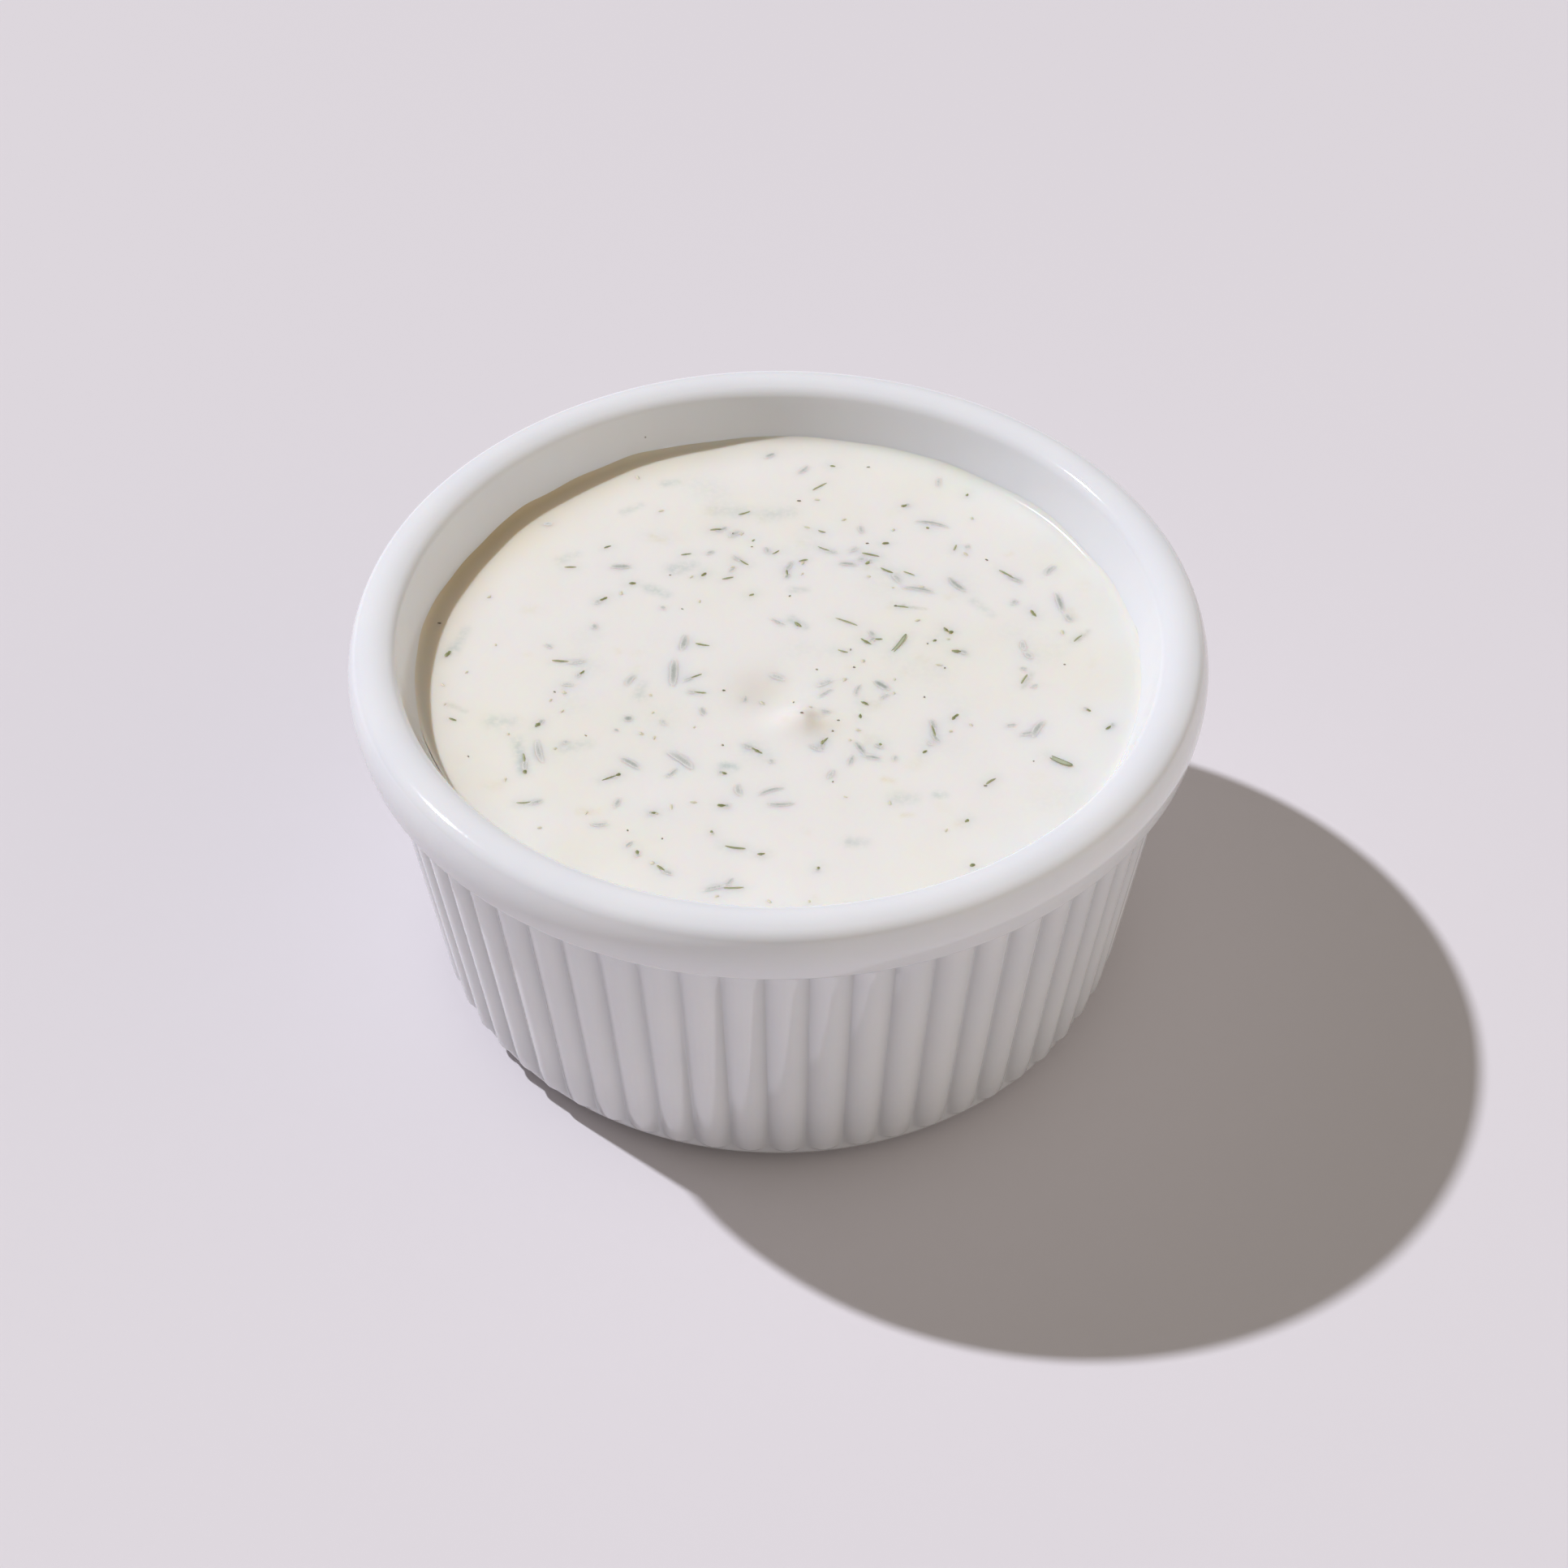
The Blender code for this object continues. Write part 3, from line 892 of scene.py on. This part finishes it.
    # Dill that shows softly through the cream over it: x and y in mm, heading in degrees, length and
    # width in mm, and how strongly it shows.
    drowned_by_hand: tuple[tuple[float, float, float, float, float, float], ...] = (
        (-11, -0.9, -92, 3.6, 0.7, 0.40), (-10, 3.8, -100, 2.2, 0.6, 0.35), (-17, 16.2, 0, 2.0, 0.6, 0.38),
        (17, 23.2, -16, 3.4, 0.35, 0.38), (19.3, 13, -52, 2.6, 0.5, 0.42), (15.2, 12.2, -14, 3.2, 0.45, 0.36),
        (-10, -14.2, -45, 3.2, 0.7, 0.30), (-15.2, -14.6, -38, 2.2, 0.5, 0.42), (-0.8, -18.8, 22, 2.5, 0.35, 0.38),
        (0.2, -20.7, 2, 2.5, 0.4, 0.32), (-15.6, -7.9, 0, 0.8, 0.7, 0.5), (10.8, -3, -42, 1.8, 0.6, 0.50),
        (8.4, -12.6, -62, 2.0, 0.4, 0.42), (9.6, -14, -15, 1.6, 0.4, 0.34), (26.8, -9.8, 62, 2.4, 0.6, 0.36),
        (30.2, 10, -80, 2.8, 0.5, 0.44), (-24.6, -12.8, -78, 3.0, 0.5, 0.24), (-0.8, 35.2, 30, 1.2, 0.5, 0.42),
        (7.6, 16.4, -8, 1.8, 0.5, 0.36),
    )

    # Soft stains in the cream: kind, x and y in mm, heading in degrees, length and width in mm, and
    # strength.
    stains_by_hand: tuple[tuple[Depth, float, float, float, float, float, float], ...] = (
        (Depth.SUNK, -12.9, 12, -30, 2.2, 1.0, 0.34), (Depth.SUNK, -10.2, 16, 20, 2.0, 1.4, 0.34),
        (Depth.SUNK, -5, -15.2, -10, 1.0, 0.9, 0.46), (Depth.SUNK, 2.2, 6.8, -40, 2.0, 0.8, 0.36),
        (Depth.SUNK, -33.8, 4.4, 70, 3.4, 1.0, 0.28), (Depth.SUNK, -26.6, -13.4, -80, 4.6, 0.8, 0.34),
        (Depth.SUNK, -22.7, 17.8, 30, 1.8, 1.0, 0.22), (Depth.SUNK, 0.3, 25, 10, 2.6, 1.6, 0.24),
        (Depth.SUNK, -5, 25.4, 0, 3.0, 1.6, 0.18), (Depth.SUNK, 12.8, -20, 0, 1.6, 1.4, 0.24),
        (Depth.SUNK, 16.4, -19.6, 0, 0.8, 0.8, 0.28), (Depth.SUNK, -28.6, -8.2, 0, 2.2, 1.3, 0.24),
        (Depth.SUNK, -14.4, -3.6, 80, 2.0, 1.0, 0.26), (Depth.SUNK, 7.8, -26.2, 0, 1.6, 1.0, 0.30),
        (Depth.SUNK, -11.8, 30.4, 10, 1.4, 0.8, 0.30), (Depth.SUNK, -16, 26, 30, 2.2, 0.8, 0.24),
        (Depth.SUNK, -20.7, -12, 10, 2.4, 1.3, 0.22), (Depth.SUNK, 22, 9, -50, 3.0, 0.9, 0.20),
        (Depth.SUNK, 2.4, 12.2, 0, 1.4, 0.8, 0.30), (Depth.SKIN, 32.4, 4.6, 48, 1.8, 0.5, 0.36),
        (Depth.SKIN, 14.6, 9.2, -12, 2.4, 0.35, 0.40), (Depth.SKIN, 26.2, -2.4, 65, 2.4, 0.5, 0.26),
        (Depth.SKIN, -33.4, -6.2, -30, 2.0, 0.5, 0.24), (Depth.FAT, -13, 20.8, -25, 1.6, 0.8, 0.30),
        (Depth.FAT, 11.2, -17.4, -20, 1.2, 0.5, 0.40), (Depth.FAT, -19.2, -21.6, 0, 1.6, 0.8, 0.26),
        (Depth.FAT, 13, -22.4, 0, 1.0, 0.5, 0.30), (Depth.FAT, 31.6, 8, -70, 1.6, 0.7, 0.20),
    )

    # Where the rest gather: x, y and spread of each drift in mm.
    drifts: tuple[tuple[float, float, float], ...] = (
        (5, 15, 5), (-9, 14, 5), (-14, 9, 6), (9, 3, 6), (-18, -6, 7), (18, -2, 8),
        (26, 5, 6), (-1, 24, 7), (-25, -12, 7), (14, 20, 6), (8, -10, 6), (-10, -20, 8),
    )

    def spots(self, rng: np.random.Generator, count: int, strays: float) -> Floats:
        """Places for bits, in the drifts or anywhere.

        Args:
            rng: the source of chance.
            count: how many places.
            strays: the share that lies anywhere on the dip.

        Returns:
            One row of x and y for each place, in metres.
        """
        centres = np.array(self.drifts) * MM
        found: list[Floats] = []
        while len(found) < count:
            if rng.random() < strays:
                place = rng.uniform(-self.reach, self.reach, 2)
            else:
                drift = centres[rng.integers(len(centres))]
                place = drift[:2] + rng.normal(0, drift[2], 2)
            crowded = any(np.hypot(*(place - other)) < 1.1 * MM for other in found)
            if np.hypot(*place) < self.reach and not crowded:
                found.append(place)
        return np.array(found)

    def lay(self) -> None:
        """Place the bits and the soft marks that are listed one by one."""
        rng = np.random.default_rng(self.seed)
        for form, x, y, heading, length, tone in self.laid_by_hand:
            width = rng.uniform(*CUTS[form].width)
            self.bits.append(Bit(form, x * MM, y * MM, math.radians(heading), length * MM, width, tone))
        for x, y, heading, length, width, strength in self.drowned_by_hand:
            self.bits.append(Bit(Form.SUNK, x * MM, y * MM, math.radians(heading), 1.25 * length * MM,
                                 1.3 * width * MM, 1.4 * strength))
        for depth, x, y, heading, length, width, strength in self.stains_by_hand:
            self.dip.smudges.append(Smudge(depth, x * MM, y * MM, math.radians(heading), length * MM,
                                           width * MM, 1.2 * strength, 0.3))

    def strew(self) -> None:
        """Choose the rest by chance, and give each bit its soft marks in the cream round it."""
        rng = np.random.default_rng(self.seed + 1)
        counts = {Form.NEEDLE: 11, Form.CHUNK: 14, Form.DOT: 22, Form.PALE: 60}
        for form, count in counts.items():
            strays = 0.8 if form is Form.PALE else 0.35
            for place in self.spots(rng, count, strays):
                length = rng.uniform(*CUTS[form].length)
                if form in (Form.NEEDLE, Form.CHUNK):
                    length *= 0.6
                self.bits.append(Bit(form, *place, rng.uniform(0, math.pi), length,
                                     rng.uniform(*CUTS[form].width) * 0.9, rng.uniform(0.0, 0.7)))

        for place in self.spots(rng, 54, 0.3):
            self.bits.append(Bit(Form.SUNK, *place, rng.uniform(0, math.pi), rng.uniform(*CUTS[Form.SUNK].length),
                                 rng.uniform(*CUTS[Form.SUNK].width), rng.uniform(0.12, 0.45)))
        for place in self.spots(rng, 30, 0.3):
            self.dip.smudges.append(Smudge(
                Depth.SUNK, *place, rng.uniform(0, math.pi), rng.uniform(1, 3) * MM,
                rng.uniform(1.8, 3.4) * MM, rng.uniform(0.02, 0.08)))
        for place in self.spots(rng, 34, 0.9):
            self.dip.smudges.append(Smudge(
                Depth.FAT, *place, rng.uniform(0, math.pi), rng.uniform(0.2, 1.0) * MM,
                rng.uniform(0.5, 1.1) * MM, rng.uniform(0.05, 0.2)))

        for bit in [one for one in self.bits if one.form in (Form.NEEDLE, Form.BLADE, Form.CHUNK)]:
            self.dip.smudges.append(Smudge(
                Depth.SUNK, bit.x, bit.y, bit.heading, bit.length, bit.width + 0.9 * MM,
                rng.uniform(0.05, 0.14)))
            if rng.random() < 0.35:
                ahead = rng.choice((-1, 1)) * rng.uniform(0.5, 0.8) * bit.length
                x, y = bit.x + ahead * math.cos(bit.heading), bit.y + ahead * math.sin(bit.heading)
                self.bits.append(Bit(Form.SUNK, x, y, bit.heading + rng.normal(0, 0.3), bit.length,
                                     bit.width + 0.25 * MM, rng.uniform(0.2, 0.5)))

    def loft(self, form: Form, rng: np.random.Generator) -> tuple[Floats, dict[str, Floats], list[Ints]]:
        """Points of all bits of one form.

        A bit is a tube of elliptic rings along a shallow bow: the half width falls off as the
        place along it, raised to the taper, nears 1, the fold lifts both edges, and one end
        dips under the cream.

        Args:
            form: the kind of bit.
            rng: the source of chance.

        Returns:
            The points, the vertex attributes and the faces.
        """
        cut = CUTS[form]
        bits = [bit for bit in self.bits if bit.form is form]
        count, stations, corners = len(bits), cut.stations, cut.corners
        column = {name: np.array([getattr(bit, name) for bit in bits])[:, None, None]
                  for name in ("x", "y", "heading", "length", "width", "tone")}
        along = np.sin(np.linspace(-1, 1, stations + 2) * math.pi / 2)[None, :, None]
        turn = (np.arange(corners) * TAU / corners)[None, None, :]
        swell = np.sqrt(np.maximum(1 - np.abs(along) ** cut.taper, 0))
        swell = swell * (1 + cut.ragged * rng.uniform(-1, 1, (count, stations + 2, 1)))
        half = column["width"] / 2 * swell * (1 + 0.5 * cut.ragged * rng.uniform(-1, 1, (count, 1, corners)))
        bow = cut.bend * rng.uniform(-1, 1, (count, 1, 1)) * column["length"]
        ahead = along * column["length"] / 2 + 0 * turn
        side = half * np.cos(turn) + bow * (along ** 2 - 0.4)
        crown = column["width"] / 2 * cut.thickness
        rise = half * cut.thickness * np.sin(turn) + cut.fold * half * np.abs(np.cos(turn)) ** 2 - cut.sink * crown
        dive = rng.uniform(-0.05, 0.05, (count, 1, 1)) * column["length"] * (cut.sink == 0)
        x = column["x"] + ahead * np.cos(column["heading"]) - side * np.sin(column["heading"])
        y = column["y"] + ahead * np.sin(column["heading"]) + side * np.cos(column["heading"])
        z = self.dip.surface(x, y) + cut.lift + rise + dive * along
        grid = np.stack([x, y, z], -1)
        tips = grid[:, [0, -1]].mean(2)
        points = np.concatenate([grid[:, 1:-1].reshape(count, -1, 3), tips], 1)

        size = stations * corners
        faces = [tube_faces(stations, corners)[:, ::-1],
                 pole_faces(size, 0, corners, True)[:, ::-1],
                 pole_faces(size + 1, size - corners, corners, False)[:, ::-1]]
        step = (np.arange(count) * (size + 2))[:, None, None]
        faces = [(group[None] + step).reshape(-1, group.shape[1]) for group in faces]
        if cut.sink:
            inner = np.clip((rise / crown)[:, 1:-1] / (1 - cut.sink), 0, 1) ** cut.sharp
        else:
            inner = (1 - np.abs(np.cos(turn)) ** cut.sharp) * (1 - np.abs(along[:, 1:-1]) ** cut.sharp)
        rim = np.broadcast_to(1 - inner, (count, stations, corners)).reshape(count, -1)
        edge = np.concatenate([rim, np.ones((count, 2))], 1)
        tone = np.broadcast_to(column["tone"][:, :, 0], (count, size + 2))
        return points.reshape(-1, 3), {"edge": edge.ravel(), "tone": tone.ravel()}, faces

    def build(self) -> None:
        """Make one piece for each form."""
        rng = np.random.default_rng(self.seed + 1)
        for form in Form:
            points, marks, faces = self.loft(form, rng)
            piece = smooth_mesh(form.value, points, faces, marks, CUTS[form].finish.make())
            seat(piece)


# --- The studio ----------------------------------------------------------------------------------

@dataclass
class Studio:
    """A plain pale floor, one soft key light, an even fill, and the camera."""

    floor_height: float
    floor_side: float = 6.0
    floor_colour: Colour = (0.708, 0.668, 0.695)
    key_from: tuple[float, float, float] = (-0.565, 0.316, 0.762)
    key_power: float = 2.82
    key_colour: Colour = (0.962, 0.983, 1.07)
    key_spread: float = math.radians(1.6)
    fill_colour: Colour = (1.07, 1.0, 0.89)
    fill_even: float = 0.195
    fill_gain: float = 0.75
    fill_focus: float = 6.0
    fill_azimuth: float = math.radians(-22)
    fill_rise: float = math.radians(17)
    camera_distance: float = 405 * MM
    camera_rise: float = 0.807
    camera_pitch: float = 0.7703
    camera_yaw: float = 0.002
    camera_roll: float = -0.004
    lens: float = 82.5

    def lay_floor(self) -> None:
        """Lay one large plain sheet just under the foot."""
        half = self.floor_side / 2
        corners = np.array([[-half, -half], [half, -half], [half, half], [-half, half]])
        points = np.column_stack([corners, np.full(4, self.floor_height)])
        bench = Bench("pale_floor")
        bench.set(Roughness=0.75, Base_Color=(*self.floor_colour, 1.0))
        floor = smooth_mesh("floor", points, [np.array([[0, 1, 2, 3]])], {}, bench.material)

    def light(self) -> None:
        """Hang the key light, and set the fill: even all round, with a broad soft glow from one side."""
        lamp = bpy.data.lights.new("key", "SUN")
        lamp.energy = self.key_power
        lamp.color = self.key_colour
        lamp.angle = self.key_spread
        key = bpy.data.objects.new("key", lamp)
        key.rotation_euler = Vector(self.key_from).to_track_quat("Z", "Y").to_euler()
        bpy.context.scene.collection.objects.link(key)

        world = bpy.data.worlds.new("studio")
        world.use_nodes = True
        nodes, links = world.node_tree.nodes, world.node_tree.links
        sky = nodes["Background"]
        sky.inputs["Color"].default_value = (*self.fill_colour, 1.0)
        place = nodes.new("ShaderNodeTexCoord")
        facing = nodes.new("ShaderNodeVectorMath")
        facing.operation = "DOT_PRODUCT"
        level = math.cos(self.fill_rise)
        facing.inputs[1].default_value = (level * math.cos(self.fill_azimuth),
                                          level * math.sin(self.fill_azimuth), math.sin(self.fill_rise))
        share = nodes.new("ShaderNodeMapRange")
        share.inputs["From Min"].default_value = -1.0
        focus = nodes.new("ShaderNodeMath")
        focus.operation = "POWER"
        focus.inputs[1].default_value = self.fill_focus
        strength = nodes.new("ShaderNodeMapRange")
        strength.inputs["To Min"].default_value = self.fill_even
        strength.inputs["To Max"].default_value = self.fill_even + self.fill_gain
        links.new(place.outputs["Generated"], facing.inputs[0])
        links.new(facing.outputs["Value"], share.inputs["Value"])
        links.new(share.outputs["Result"], focus.inputs[0])
        links.new(focus.outputs["Value"], strength.inputs["Value"])
        links.new(strength.outputs["Result"], sky.inputs["Strength"])
        bpy.context.scene.world = world

    def place_camera(self) -> None:
        """Stand the camera in front, looking down at the dish.

        The camera is camera_distance from the foot's centre, at camera_rise over the floor, and
        looks camera_pitch below the horizon.
        """
        pitch, yaw = self.camera_pitch, self.camera_yaw
        ahead = Vector((math.sin(yaw) * math.cos(pitch), math.cos(yaw) * math.cos(pitch), -math.sin(pitch)))
        right = ahead.cross(Vector((0, 0, 1))).normalized()
        up = right.cross(ahead)
        roll = self.camera_roll
        tilted_right = math.cos(roll) * right + math.sin(roll) * up
        tilted_up = math.cos(roll) * up - math.sin(roll) * right
        place = Vector((0, -math.cos(self.camera_rise), math.sin(self.camera_rise))) * self.camera_distance
        data = bpy.data.cameras.new("camera")
        data.lens = self.lens
        data.sensor_width = 36
        data.clip_start = 10 * MM
        camera = bpy.data.objects.new("camera", data)
        turned = Matrix((tilted_right, tilted_up, -ahead)).transposed().to_4x4()
        camera.matrix_world = Matrix.Translation(place) @ turned
        bpy.context.scene.collection.objects.link(camera)
        bpy.context.scene.camera = camera

    def build(self) -> None:
        """Set up the floor, lights, camera and plain colour handling."""
        self.lay_floor()
        self.light()
        self.place_camera()
        bpy.context.scene.view_settings.view_transform = "Standard"
        LOG.info("studio ready")


def main() -> None:
    """Load the frame and build the dish, the dip, its bits and the studio."""
    logging.basicConfig(level=logging.INFO, format="%(message)s")
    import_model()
    dish_low, dish_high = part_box("ramekin")
    dip_low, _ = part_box("dip")

    ramekin = Ramekin(rim_radius=dish_high.x, height=dish_high.z)
    ramekin.build()
    dip = Dip(level=ramekin.height - 5.8 * MM, floor_height=dip_low.z, dish=ramekin)
    sprinkle = Sprinkle(dip)
    sprinkle.lay()
    sprinkle.strew()
    dip.build()
    sprinkle.build()
    Studio(floor_height=dish_low.z).build()


if __name__ == "__main__":
    main()
